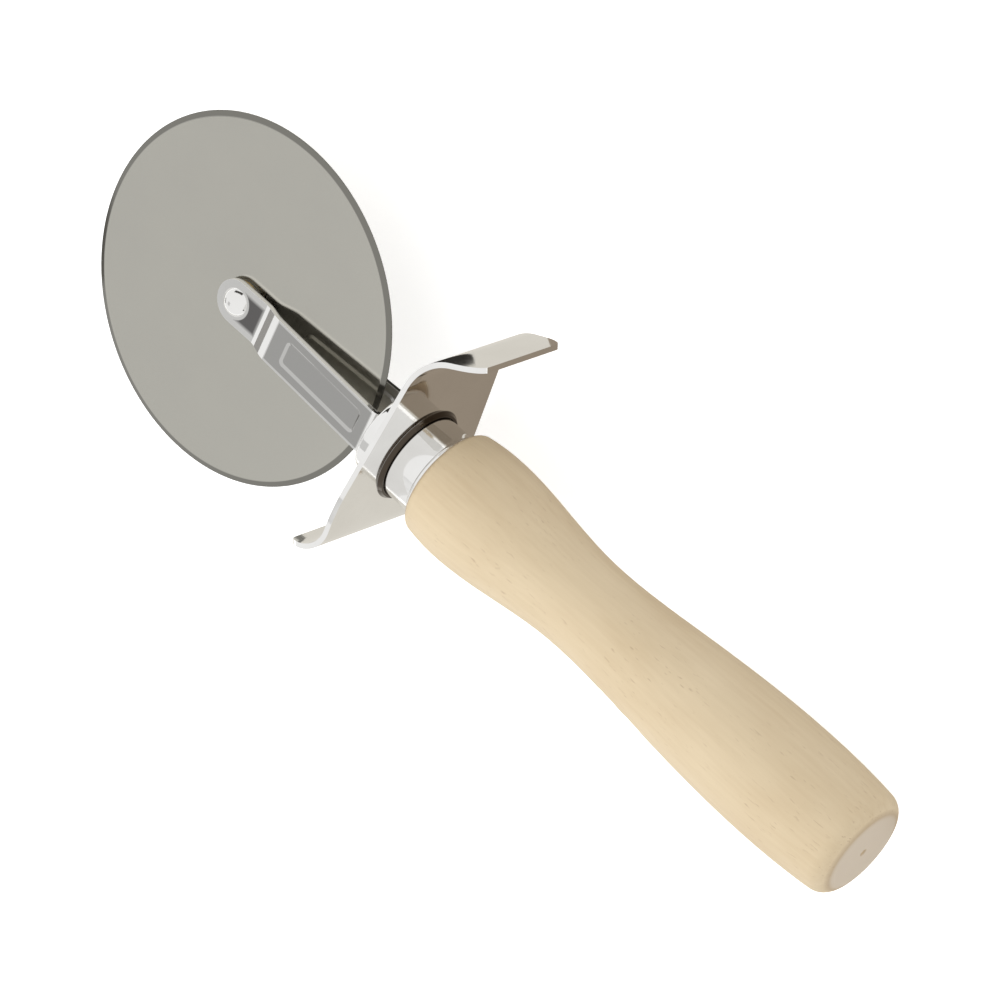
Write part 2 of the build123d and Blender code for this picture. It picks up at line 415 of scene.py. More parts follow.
@dataclass(frozen=True)
class PaintedShadePlate(MetalFinish):
    """The bright plate: painted reflection darkens the arms' runs and the eye beside the rivet,
    and painted shade darkens the collar and the arms' inner faces.
    """

    layout: Layout = Layout()
    fade: float = 0.25
    # Painted shade: the collar round the ferrule is coloured near black, as the crevice there lies
    # in shade.
    collar_shade_start: float = 67.0
    collar_shade_end: float = 68.3
    collar_shade_reach: float = 14.1
    collar_shade_colour: Colour = (0.07, 0.056, 0.043)
    # Painted reflection: the arms' flat runs are darkened, as they reflect darker surroundings.
    run_start: float = 16.2
    run_end: float = 54.0
    run_half: float = 5.8
    run_reflection_colour: Colour = (0.5, 0.495, 0.48)
    # The arms' inner faces: rougher because unbuffed, and darker by painted shade where they face
    # the blade.
    inside_start: float = -7.0
    inside_end: float = 54.5
    inside_margin: float = 0.3
    inside_shade_colour: Colour = (0.5, 0.492, 0.475)
    inside_roughness: float = 0.45
    # Painted reflection: a dark patch on the eye beside the rivet, as it reflects something dark.
    eye_reflection_fade: float = 1.1
    eye_reflection_reach: float = 5.0
    eye_reflection_start: float = 2.6
    eye_reflection_end: float = 8.6
    eye_reflection_half: float = 3.7
    eye_reflection_colour: Colour = (0.18, 0.174, 0.172)

    def tint(self, bench: NodeBench, colour: Socket, roughness: Socket) -> tuple[Socket, Socket]:
        """Paint the dark reflections on the arms' runs and beside the rivet and the shade on the
        collar and the arms' inner faces, and dull the inner faces.

        Args:
            bench: The material's tree.
            colour: The plain plate.
            roughness: Its roughness.

        Returns:
            The plate's colour and roughness from place to place.
        """
        axle = self.layout.axle
        parts = bench.add("ShaderNodeSeparateXYZ", {"Vector": bench.coordinates()}).outputs
        along = self.offset(bench, parts["X"], self.layout.axle_x)
        across = self.offset(bench, parts["Y"], self.layout.axis_y)
        height = self.offset(bench, parts["Z"], self.layout.axis_z)
        # Painted reflection on the arms' flat runs.
        run = bench.overlap(
            bench.between(along, self.run_start, self.run_end, self.fade),
            bench.between(across, -self.run_half, self.run_half, self.fade))
        from_axle = AxisDistance.reach(bench, axle, (1.0, 1.0, 0.0))
        # Painted reflection on the eye beside the rivet.
        eye_reflection = bench.overlap(
            bench.rise(from_axle, self.eye_reflection_reach, self.fade),
            bench.between(across, -self.eye_reflection_half, self.eye_reflection_half, self.eye_reflection_fade),
            bench.between(along, self.eye_reflection_start, self.eye_reflection_end, self.eye_reflection_fade))
        # Inner faces: a real rougher finish, and painted shade in the colour.
        inside = bench.overlap(
            bench.between(along, self.inside_start, self.inside_end, self.fade),
            bench.rise(self.below_arm(bench, along, height), 0.0, self.fade))
        from_handle_axis = AxisDistance.reach(bench, axle, (0.0, 1.0, 1.0))
        # Painted shade on the collar round the ferrule.
        seam = bench.overlap(
            bench.between(along, self.collar_shade_start, self.collar_shade_end, self.fade),
            bench.fall(from_handle_axis, self.collar_shade_reach, self.fade))
        for mask, tone in ((run, self.run_reflection_colour), (eye_reflection, self.eye_reflection_colour),
                           (inside, self.inside_shade_colour), (seam, self.collar_shade_colour)):
            colour = bench.blend(mask, colour, tone)
        dulled = bench.calc("MULTIPLY", inside, self.inside_roughness)
        return colour, bench.calc("MAXIMUM", roughness, dulled)

    @staticmethod
    def offset(bench: NodeBench, part: Socket, origin: float) -> Socket:
        """Count one coordinate from the axle, in millimetres."""
        return bench.calc("SUBTRACT", bench.calc("MULTIPLY", part, PER_MM), origin)

    def below_arm(self, bench: NodeBench, along: Socket, height: Socket) -> Socket:
        """Give how far a point lies inside the arms' inner faces, which were never buffed.

        Args:
            bench: The material's tree.
            along: The distance from the axle along the handle.
            height: The distance from the blade's middle plane.

        Returns:
            The depth in millimetres, below 0 on the outer faces.
        """
        joggle = bench.spread(
            along, (ForkArm.joggle_start, ForkArm.joggle_end),
            (ForkArm.eye_inner, ForkArm.neck_inner))
        splay = bench.spread(
            along, (ForkArm.joggle_end, ForkArm.foot_front),
            (0.0, ForkArm.foot_inner - ForkArm.neck_inner))
        face = bench.calc("ADD", bench.calc("ADD", joggle, splay), self.inside_margin)
        return bench.calc("SUBTRACT", face, bench.calc("ABSOLUTE", height))


@dataclass(frozen=True)
class Grain:
    """Noise drawn out along the handle: its waves per metre each way, and its finer layers."""

    along: float
    across: float
    detail: float

    def noise(self, bench: NodeBench, place: Socket) -> Socket:
        """Give the noise's value at a place on the surface."""
        mapped = bench.add("ShaderNodeMapping", {
            "Vector": place, "Scale": (self.along, self.across, self.across)}).outputs["Vector"]
        return bench.add("ShaderNodeTexNoise", {
            "Vector": mapped, "Scale": 1.0, "Detail": self.detail}).outputs["Fac"]


@dataclass(frozen=True)
class WoodFinish:
    """A pale turned hardwood with fine grain, short flecks and a thin lacquer."""

    slot: Slot
    light: Colour
    middle: Colour
    dark: Colour
    fleck: Colour
    end_grain: Colour
    brown: Colour
    layout: Layout
    broad_grain: Grain = Grain(22.0, 55.0, 3.0)
    fine_grain: Grain = Grain(40.0, 900.0, 2.0)
    fleck_grain: Grain = Grain(300.0, 1500.0, 1.0)
    patch_grain: Grain = Grain(30.0, 60.0, 1.0)
    fine_share: float = 0.3
    tone_stops: tuple[float, float, float] = (0.34, 0.5, 0.66)
    fleck_range: Pair = (0.66, 0.76)
    fleck_strength: Pair = (0.0, 0.5)
    patch_range: Pair = (0.42, 0.6)
    patch_strength: Pair = (0.15, 1.0)
    gloss_range: Pair = (0.3, 0.7)
    roughness: Pair = (0.55, 0.45)
    pore_strength: float = 0.2
    pore_depth: float = 0.04
    coat_weight: float = 0.08
    coat_roughness: float = 0.35
    line_depth: float = 0.9
    line_strength: float = 0.45
    face_depth: float = 0.25
    face_edge: float = 0.02
    face_strength: float = 0.9
    shoulder_gap: float = 0.3
    shoulder_line: float = 1.3
    shoulder_strength: float = 0.6

    def material(self) -> Material:
        """Build the material.

        Returns:
            The new material, named for its slot.
        """
        material, bench = start_material(self.slot.value)
        place = bench.coordinates()
        broad = self.broad_grain.noise(bench, place)
        fine = self.fine_grain.noise(bench, place)
        tone = bench.calc(
            "ADD", bench.calc("MULTIPLY", broad, 1.0 - self.fine_share),
            bench.calc("MULTIPLY", fine, self.fine_share))
        body = bench.ramp(tone, list(zip(self.tone_stops, (self.dark, self.middle, self.light))))
        flecks = bench.spread(
            self.fleck_grain.noise(bench, place), self.fleck_range, self.fleck_strength)
        patches = bench.spread(
            self.patch_grain.noise(bench, place), self.patch_range, self.patch_strength)
        body = bench.blend(bench.calc("MULTIPLY", flecks, patches), body, self.fleck)
        bump = bench.add("ShaderNodeBump", {
            "Strength": self.pore_strength, "Distance": self.pore_depth * MM, "Height": fine})
        bench.feed(bench.tree.nodes["Principled BSDF"], {
            "Base Color": self.end_marks(bench, place, body),
            "Roughness": bench.spread(broad, self.gloss_range, self.roughness),
            "Normal": bump.outputs["Normal"],
            "Coat Weight": self.coat_weight, "Coat Roughness": self.coat_roughness})
        return material

    def end_marks(self, bench: NodeBench, place: Socket, body: Socket) -> Socket:
        """Colour the butt's end grain, the line round it and the line at the ferrule.

        Args:
            bench: The material's tree.
            place: The coordinates to read.
            body: The colour of the turned side.

        Returns:
            The colour with its end marks.
        """
        parts = bench.add("ShaderNodeSeparateXYZ", {"Vector": place}).outputs
        along = bench.calc("MULTIPLY", parts["X"], PER_MM)
        butt, shoulder = self.layout.butt_x, self.layout.shoulder_x
        line = bench.spread(
            along, (butt - self.line_depth, butt - self.face_depth), (0.0, self.line_strength))
        front = bench.spread(
            along, (shoulder + self.shoulder_gap, shoulder + self.shoulder_line),
            (self.shoulder_strength, 0.0))
        face = bench.spread(
            along, (butt - self.face_depth, butt - self.face_edge), (0.0, self.face_strength))
        lined = bench.blend(bench.calc("MAXIMUM", line, front), body, self.brown)
        return bench.blend(face, lined, self.end_grain)


def pick_only(active: bpy.types.Object, *others: bpy.types.Object) -> None:
    """Select some objects alone.

    Args:
        active: The object that becomes the active one.
        others: The objects that are selected with it.
    """
    bpy.ops.object.select_all(action="DESELECT")
    for item in (active, *others):
        item.select_set(True)
    bpy.context.view_layer.objects.active = active


class Workpiece:
    """One new piece, modelled by hand moves in edit mode."""

    def __init__(self, name: str) -> None:
        """Start the piece as a single point at the origin.

        Args:
            name: The piece's name.
        """
        bpy.ops.object.select_all(action="DESELECT")
        bpy.ops.mesh.primitive_plane_add(size=MM)
        self.object = bpy.context.object
        self.object.name = name
        self.object.data.name = name
        bpy.ops.object.mode_set(mode="EDIT")
        bpy.ops.mesh.select_mode(type=Pick.POINT.value)
        bpy.ops.mesh.select_all(action="SELECT")
        bpy.ops.mesh.merge(type="CENTER")

    def draw(self, points: Sequence[Vector]) -> None:
        """Draw a line of edges from the starting point.

        Args:
            points: Where the line starts, and the points that it goes through.
        """
        bpy.ops.transform.translate(value=points[0])
        for start, end in pairwise(points):
            bpy.ops.mesh.extrude_vertices_move(TRANSFORM_OT_translate={"value": end - start})

    def pull(self, move: Vector, widen: float = 1.0) -> None:
        """Extrude the selected edges, and widen or narrow the new row.

        Args:
            move: How far the new row stands from the old one.
            widen: The scale of the new row across the tool, about its own middle.
        """
        bpy.ops.mesh.extrude_region_move(TRANSFORM_OT_translate={"value": move})
        if widen != 1.0:
            mesh = bmesh.from_edit_mesh(self.object.data)
            row = [vert.co for vert in mesh.verts if vert.select]
            middle = sum(row, Vector()) / len(row)
            bpy.ops.transform.resize(value=(1.0, widen, 1.0), center_override=middle)

    def select(self, mode: Pick, test: Callable[[Vector], bool]) -> None:
        """Select points, edges or faces by their place.

        Args:
            mode: What is picked.
            test: Tells from its middle whether an element is wanted.
        """
        bpy.ops.mesh.select_mode(type=mode.value)
        bpy.ops.mesh.select_all(action="DESELECT")
        mesh = bmesh.from_edit_mesh(self.object.data)
        elements = {Pick.POINT: mesh.verts, Pick.EDGE: mesh.edges, Pick.FACE: mesh.faces}
        for element in elements[mode]:
            corners = [element] if mode is Pick.POINT else element.verts
            if test(sum((vert.co for vert in corners), Vector()) / len(corners)):
                element.select_set(True)
        mesh.select_flush_mode()
        bmesh.update_edit_mesh(self.object.data)

    def rows(self) -> list[float]:
        """Find the rows of points across the tool.

        Returns:
            Their separate places, in rising order.
        """
        mesh = bmesh.from_edit_mesh(self.object.data)
        found: list[float] = []
        for place in sorted(vert.co.y for vert in mesh.verts):
            if not found or place - found[-1] > SAME_ROW:
                found.append(place)
        return found

    def face_towards(self, direction: Vector, place: Vector) -> None:
        """Turn the whole sheet so that its face nearest a place looks a given way.

        Args:
            direction: The way that the face looks.
            place: The place that picks the face.
        """
        bpy.ops.mesh.select_all(action="SELECT")
        bpy.ops.mesh.normals_make_consistent(inside=False)
        mesh = bmesh.from_edit_mesh(self.object.data)
        nearest = min(mesh.faces, key=lambda face: (face.calc_center_median() - place).length)
        if nearest.normal.dot(direction) < 0.0:
            bpy.ops.mesh.flip_normals()

    def weld(self) -> None:
        """Merge the points that lie on each other."""
        bpy.ops.mesh.select_all(action="SELECT")
        bpy.ops.mesh.remove_doubles(threshold=WELD)

    def turn(self, centre: Vector, axis: Vector, steps: int) -> None:
        """Spin the whole drawn line once round an axis and close the seam.

        Args:
            centre: A point on the axis.
            axis: The axis's direction.
            steps: How many steps make the round.
        """
        bpy.ops.mesh.select_all(action="SELECT")
        bpy.ops.mesh.spin(steps=steps, angle=math.tau, center=centre, axis=axis)
        self.weld()
        bpy.ops.mesh.normals_make_consistent(inside=False)

    def modify(self, kind: str, **settings: Any) -> None:
        """Add one modifier and apply it.

        Args:
            kind: Blender's name for the modifier type.
            settings: Properties of the modifier.
        """
        bpy.ops.object.mode_set(mode="OBJECT")
        modifier = self.object.modifiers.new(kind.lower(), kind)
        for name, value in settings.items():
            setattr(modifier, name, value)
        pick_only(self.object)
        bpy.ops.object.modifier_apply(modifier=modifier.name)

    def thicken(self, sheet: float) -> None:
        """Give a drawn sheet its thickness in millimetres, outwards from its face."""
        self.modify("SOLIDIFY", thickness=sheet * MM, offset=1.0, use_even_offset=True)

    def soften(self, width: float, angle: float = SHARP_ANGLE) -> None:
        """Round every edge that is sharper than an angle in degrees, by a width."""
        self.modify("BEVEL", width=width * MM, segments=EDGE_STEPS, limit_method="ANGLE",
                    angle_limit=math.radians(angle), harden_normals=False)

    def cut_round(self, centre: Vector, axis: Vector, radius: float, depth: float) -> None:
        """Cut a round hole through the piece.

        Args:
            centre: The middle of the hole.
            axis: The direction of the hole.
            radius: Its radius in millimetres.
            depth: The cutter's length in millimetres.
        """
        bpy.ops.object.mode_set(mode="OBJECT")
        bpy.ops.mesh.primitive_cylinder_add(
            vertices=ROUND_STEPS, radius=radius * MM, depth=depth * MM, location=centre,
            rotation=axis.to_track_quat("Z", "Y").to_euler())
        cutter = bpy.context.object
        self.modify("BOOLEAN", operation="DIFFERENCE", object=cutter, solver="EXACT")
        bpy.data.objects.remove(cutter)

    def join(self, other: Workpiece) -> None:
        """Make another workpiece part of this one."""
        pick_only(self.object, other.object)
        bpy.ops.object.join()


def settle(piece: bpy.types.Object, body: Body, slot: Slot, material: Material,
           *nodes: str) -> None:
    """Shade a modelled object, dress it and put it on its body.

    Args:
        piece: The modelled object.
        body: The body that it moves with.
        slot: The finish that it takes; not used.
        material: The material of that finish.
        nodes: The plain nodes that it stands for.
    """
    pick_only(piece)
    bpy.ops.object.shade_smooth_by_angle(angle=math.radians(SMOOTH_ANGLE))
    flats = piece.modifiers.new("flat_faces", "WEIGHTED_NORMAL")
    flats.keep_sharp = True
    flats.weight = FLAT_WEIGHT
    bpy.ops.object.modifier_apply(modifier=flats.name)
    piece.data.materials.clear()
    piece.data.materials.append(material)
    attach(piece, body.value)
    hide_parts(*nodes)
    LOG.info("modelled %s: %d faces", piece.name, len(piece.data.polygons))


@dataclass
class CuttingWheel:
    """The round blade, ground to an edge from both sides."""

    layout: Layout
    material: Material
    radius: float = 50.8
    half_thickness: float = 0.6
    bevel_width: float = 1.6
    edge_half: float = 0.15
    bore_radius: float = 4.0
    grind_round: float = 0.12
    grind_angle: float = 6.0
    steps: int = 240

    def build(self) -> None:
        """Turn the blade's section round the axle."""
        upper = [
            (self.bore_radius, self.half_thickness),
            (self.radius - self.bevel_width, self.half_thickness), (self.radius, self.edge_half)]
        corners = [*((out, -up) for out, up in upper), *reversed(upper)]
        wheel = Workpiece("cutting_wheel_fine")
        section = [self.layout.point(out, 0.0, up) for out, up in corners]
        wheel.draw([*section, section[0]])
        wheel.weld()
        wheel.turn(self.layout.axle, UP, self.steps)
        wheel.soften(self.grind_round, self.grind_angle)
        settle(wheel.object, Body.BLADE, Slot.BLADE_STEEL, self.material, "cutting_wheel")


@dataclass
class ForkArm:
    """A pressed sheet arm: eye, joggle, splayed run with a sunk panel, foot and tang."""

    layout: Layout
    material: Material
    width: float = 13.2
    eye_width: float = 12.6
    eye_fullness: float = 0.999
    eye_steps: int = 16
    sheet: float = 1.5
    eye_inner: float = 1.85
    joggle_start: float = 10.3
    joggle_end: float = 15.0
    neck_inner: float = 3.75
    foot_front: float = 55.0
    foot_inner: float = 6.45
    tang_width: float = 10.0
    tang_end: float = 114.5
    panel_start: float = 20.5
    panel_end: float = 51.5
    panel_margin: float = 2.3
    panel_corner: float = 2.0
    panel_corner_steps: int = 6
    panel_depth: float = 0.55
    panel_wall: float = 0.7
    panel_pick: float = 2.0
    bend_round: float = 1.4
    bend_steps: int = 5
    edge_round: float = 0.35
    axle_radius: float = 2.52
    axle_depth: float = 8.0

    def build(self) -> None:
        """Press the front arm and turn a copy of it over for the rear one."""
        arm = Workpiece("fork_arm_front")
        self.bend_strip(arm)
        self.press_panel(arm)
        arm.thicken(self.sheet)
        eye = self.layout.point(0.0, 0.0, self.eye_inner)
        arm.cut_round(eye, UP, self.axle_radius, self.axle_depth)
        arm.soften(self.edge_round)
        rear = arm.object.copy()
        rear.data = arm.object.data.copy()
        rear.name = rear.data.name = "fork_arm_rear"
        bpy.context.collection.objects.link(rear)
        axle = self.layout.axle
        half_turn = Matrix.Rotation(math.pi, 4, "X")
        rear.data.transform(Matrix.Translation(axle) @ half_turn @ Matrix.Translation(-axle))
        settle(arm.object, Body.HEAD, Slot.BRIGHT_PLATE, self.material, "front_fork_arm")
        settle(rear, Body.HEAD, Slot.BRIGHT_PLATE, self.material, "rear_fork_arm")

    def run_height(self, along: float) -> float:
        """Give the height of the splayed run's inner face at a station."""
        slope = (self.foot_inner - self.neck_inner) / (self.foot_front - self.joggle_end)
        return self.neck_inner + (along - self.joggle_end) * slope

    def bend_strip(self, arm: Workpiece) -> None:
        """Draw the strip row by row along its bends, and round its eye and its bends.

        Args:
            arm: The piece being drawn.
        """
        point = self.layout.point
        half_eye = self.eye_width / 2
        run_start = self.panel_start - self.panel_margin
        run_end = self.panel_end + self.panel_margin
        stations = [
            (-half_eye, self.eye_inner, self.eye_width),
            (self.joggle_start, self.eye_inner, self.eye_width),
            (self.joggle_end, self.neck_inner, self.width),
            (run_start, self.run_height(run_start), self.width),
            (run_end, self.run_height(run_end), self.width),
            (self.foot_front, self.foot_inner, self.width),
            (self.foot_front, 0.0, self.tang_width),
            (self.tang_end, 0.0, self.tang_width)]
        arm.draw([point(-half_eye, side * half_eye, self.eye_inner) for side in (-1, 1)])
        bpy.ops.mesh.select_all(action="SELECT")
        for old, new in pairwise(stations):
            move = Vector((new[0] - old[0], 0.0, new[1] - old[1])) * MM
            arm.pull(move, new[2] / old[2])
        tip = point(-half_eye, 0.0, 0.0).x
        arm.select(Pick.POINT, lambda place: abs(place.x - tip) < NEAR)
        bpy.ops.mesh.bevel(
            offset=half_eye * self.eye_fullness * MM, segments=self.eye_steps, affect="VERTICES")
        bends = [
            point(self.joggle_start, 0.0, self.eye_inner),
            point(self.joggle_end, 0.0, self.neck_inner),
            point(self.foot_front, 0.0, self.foot_inner)]
        arm.select(Pick.EDGE, lambda place: any((place - bend).length < NEAR for bend in bends))
        bpy.ops.mesh.bevel(
            offset=self.bend_round * MM, segments=self.bend_steps, affect="EDGES")
        arm.face_towards(UP, point(0.0, 0.0, self.eye_inner))

    def press_panel(self, arm: Workpiece) -> None:
        """Sink the panel into the splayed run.

        Args:
            arm: The bent strip.
        """
        station = (self.panel_start + self.panel_end) / 2
        middle = self.layout.point(station, 0.0, self.run_height(station))

        def on_panel(place: Vector) -> bool:
            """Tell whether a face is the panel's own."""
            return (place - middle).length < self.panel_pick * MM

        arm.select(Pick.FACE, on_panel)
        bpy.ops.mesh.inset(thickness=self.panel_margin * MM)
        bpy.ops.mesh.select_mode(type=Pick.POINT.value)
        bpy.ops.mesh.bevel(
            offset=self.panel_corner * MM, segments=self.panel_corner_steps, affect="VERTICES")
        arm.select(Pick.FACE, on_panel)
        bpy.ops.mesh.inset(thickness=self.panel_wall * MM, depth=-self.panel_depth * MM)


@dataclass(frozen=True)
class Fold:
    """One folded end of the guard: the flat run, the bend, the flap beyond it and its width."""

    side: int
    flat: float
    radius: float
    angle: float
    flap: float
    end_half: float
    taper_from: float

    @property
    def turn(self) -> float:
        """Give the bend's angle in radians."""
        return math.radians(self.angle)

    @property
    def bend_end(self) -> float:
        """Give how far across the bend ends."""
        return self.flat + self.radius * math.sin(self.turn)

    @property
    def reach(self) -> float:
        """Give how far across the flap ends."""
        return self.bend_end + self.flap * math.cos(self.turn)


@dataclass
class FingerGuard:
    """The pressed guard: a broad plate, one end folded back, one forward, and a collar."""

    layout: Layout
    material: Material
    plate_at: float = 65.4
    sheet: float = 1.5
    half_width: float = 25.6
    side_round: float = 30.0
    corner: float = 3.6
    thumb: Fold = Fold(
        side=1, flat=27.7, radius=14.5, angle=63.0, flap=9.9, end_half=16.9, taper_from=-9.0)
    finger: Fold = Fold(
        side=-1, flat=18.5, radius=13.4, angle=62.5, flap=3.5, end_half=21.9, taper_from=17.0)
    hole_radius: float = 12.72
    hole_depth: float = 9.0
    collar_inset: float = 0.3
    collar_height: float = 1.2
    collar_wall: float = 0.8
    collar_root: float = 1.1
    collar_foot: float = 1.5
    collar_fillet: float = 0.4
    collar_round: float = 0.2
    edge_round: float = 0.4
    row_points: int = 9
    row_gap: float = 0.2
    round_parts: tuple[float, ...] = (-1.0, -0.5, 0.0, 0.5, 1.0)
    bend_steps: int = 14
    corner_steps: int = 7

    @property
    def centre(self) -> Vector:
        """Give the middle of the plate's front face."""
        return self.layout.point(self.plate_at, 0.0, 0.0)

    def build(self) -> None:
        """Fold the plate, cut it to its plan and add the collar."""
        guard = Workpiece("finger_guard_fine")
        last = self.row_points - 1
        heights = [self.half_width * (2 * index / last - 1) for index in range(self.row_points)]
        guard.draw([self.layout.point(self.plate_at, 0.0, height) for height in heights])
        for fold in (self.thumb, self.finger):
            self.fold_end(guard, fold)
        self.draw_in(guard)
        guard.face_towards(ALONG, self.centre)
        guard.thicken(self.sheet)
        guard.cut_round(self.centre, ALONG, self.hole_radius, self.hole_depth)
        guard.soften(self.edge_round)
        guard.join(self.draw_collar())
        settle(guard.object, Body.HEAD, Slot.BRIGHT_PLATE, self.material, "finger_guard")

    def fold_end(self, guard: Workpiece, fold: Fold) -> None:
        """Run the plate out from its middle, bend it and carry it on to its end.

        Args:
            guard: The piece being bent.
            fold: The end that is made.
        """
        middle = self.centre.y
        guard.select(Pick.POINT, lambda place: abs(place.y - middle) < NEAR)
        for old, new in pairwise(self.flat_rows(fold)):
            guard.pull(Vector((0.0, fold.side * (new - old), 0.0)) * MM)
        pivot = self.layout.point(
            self.plate_at + fold.side * fold.radius, fold.side * fold.flat, 0.0)
        bpy.ops.mesh.spin(steps=self.bend_steps, angle=fold.turn, axis=UP, center=pivot)
        turns = [
            math.pi / 2 * step / self.corner_steps for step in range(self.corner_steps + 1)]
        end_rows = [fold.reach - self.corner * (1.0 - math.sin(turn)) for turn in turns]
        clear_rows = [row for row in end_rows if row > fold.bend_end + self.row_gap]
        for old, new in pairwise([fold.bend_end, *clear_rows]):
            step = fold.side * (new - old)
            guard.pull(Vector((step * math.tan(fold.turn), step, 0.0)) * MM)

    def flat_rows(self, fold: Fold) -> list[float]:
        """Give where rows are needed from the middle of the plate out to a bend.

        Args:
            fold: The end beyond that bend.

        Returns:
            Distances across, close together where a side's straight run turns into its taper.
        """
        rounds = [
            fold.side * end.side * (end.taper_from + self.rounding(end) * part)
            for end in (self.thumb, self.finger) for part in self.round_parts]
        return sorted(row for row in (0.0, fold.flat, *rounds) if 0.0 <= row <= fold.flat)

    def taper(self, fold: Fold) -> float:
        """Give the angle at which the plate's sides draw in to a folded end."""
        return math.atan2(self.half_width - fold.end_half, fold.reach - fold.taper_from)

    def rounding(self, fold: Fold) -> float:
        """Give how far the round between straight side and taper runs each way."""
        return self.side_round * math.tan(self.taper(fold) / 2)

    def half_at(self, across: float, fold: Fold) -> float:
        """Give the plate's half width at a distance across the tool.

        Args:
            across: The distance from the handle's axis, counted towards that end.
            fold: The end that the sides draw in to.

        Returns:
            The half width, inside the side's round, the taper and the end corner's round.
        """
        taper = self.taper(fold)
        half = self.half_width - max(0.0, across - fold.taper_from) * math.tan(taper)
        past_round = across - (fold.taper_from - self.rounding(fold))
        if 0.0 < past_round < self.side_round * math.sin(taper):
            rise = math.sqrt(self.side_round ** 2 - past_round ** 2)
            half = self.half_width - self.side_round + rise
        past_corner = across - (fold.reach - self.corner)
        lean = self.corner * math.sin(taper)
        if past_corner > lean:
            middle = fold.end_half + (lean - self.corner) / math.cos(taper)
            half = middle + math.sqrt(max(0.0, self.corner ** 2 - past_corner ** 2))
        return half

    def draw_in(self, guard: Workpiece) -> None:
        """Narrow each row of the bent plate to the plan's half width.

        Args:
            guard: The bent plate.
        """
        centre = self.centre
        widest = (self.thumb.taper_from - self.finger.taper_from) / 2
        for row in guard.rows():
            across = (row - centre.y) / MM
            fold = self.thumb if across > widest else self.finger
            guard.select(Pick.POINT, lambda place: abs(place.y - row) < WELD)
            factor = self.half_at(across * fold.side, fold) / self.half_width
            bpy.ops.transform.resize(value=(1.0, 1.0, factor), center_override=centre)

    def draw_collar(self) -> Workpiece:
        """Turn the collar that is drawn out of the plate round the ferrule.

        Returns:
            The collar, not yet joined to the plate.
        """
        inside = self.plate_at + self.collar_inset
        back = self.plate_at + self.sheet
        rim = back + self.collar_height
        bore = self.hole_radius
        corners = [
            (inside, bore), (rim, bore), (rim, bore + self.collar_wall),
            (back + self.collar_fillet, bore + self.collar_root),
            (back, bore + self.collar_foot), (inside, bore + self.collar_foot)]
        collar = Workpiece("guard_collar")
        section = [self.layout.point(along, out, 0.0) for along, out in corners]
        collar.draw([*section, section[0]])
        collar.turn(self.centre, ALONG, ROUND_STEPS)
        collar.soften(self.collar_round)
        return collar


@dataclass(frozen=True)
class StudioCard:
    """A plain card, in metres, that only reflections show; without an aim it lies flat."""

    name: str
    place: Place
    size: Pair
    glow: Colour
    aim: Place | None = None
    roll: float = 0.0

    def build(self) -> None:
        """Put the card in its place, turned to what it is aimed at."""
        bpy.ops.object.select_all(action="DESELECT")
        bpy.ops.mesh.primitive_plane_add(size=1.0, location=self.place)
        card = bpy.context.object
        card.name = self.name
        card.scale = (*self.size, 1.0)
        towards = Vector(self.aim) - Vector(self.place) if self.aim else UP
        facing = towards.to_track_quat("Z", "Y") @ Quaternion(UP, math.radians(self.roll))
        card.rotation_euler = facing.to_euler()
        material, bench = start_material(self.name)
        glow = bench.add("ShaderNodeEmission", {"Color": (*self.glow, 1.0), "Strength": 1.0})
        bench.feed(bench.tree.nodes["Material Output"], {"Surface": glow.outputs["Emission"]})
        card.data.materials.append(material)
        for rays in ("camera", "diffuse", "transmission", "shadow"):
            setattr(card, f"visible_{rays}", False)


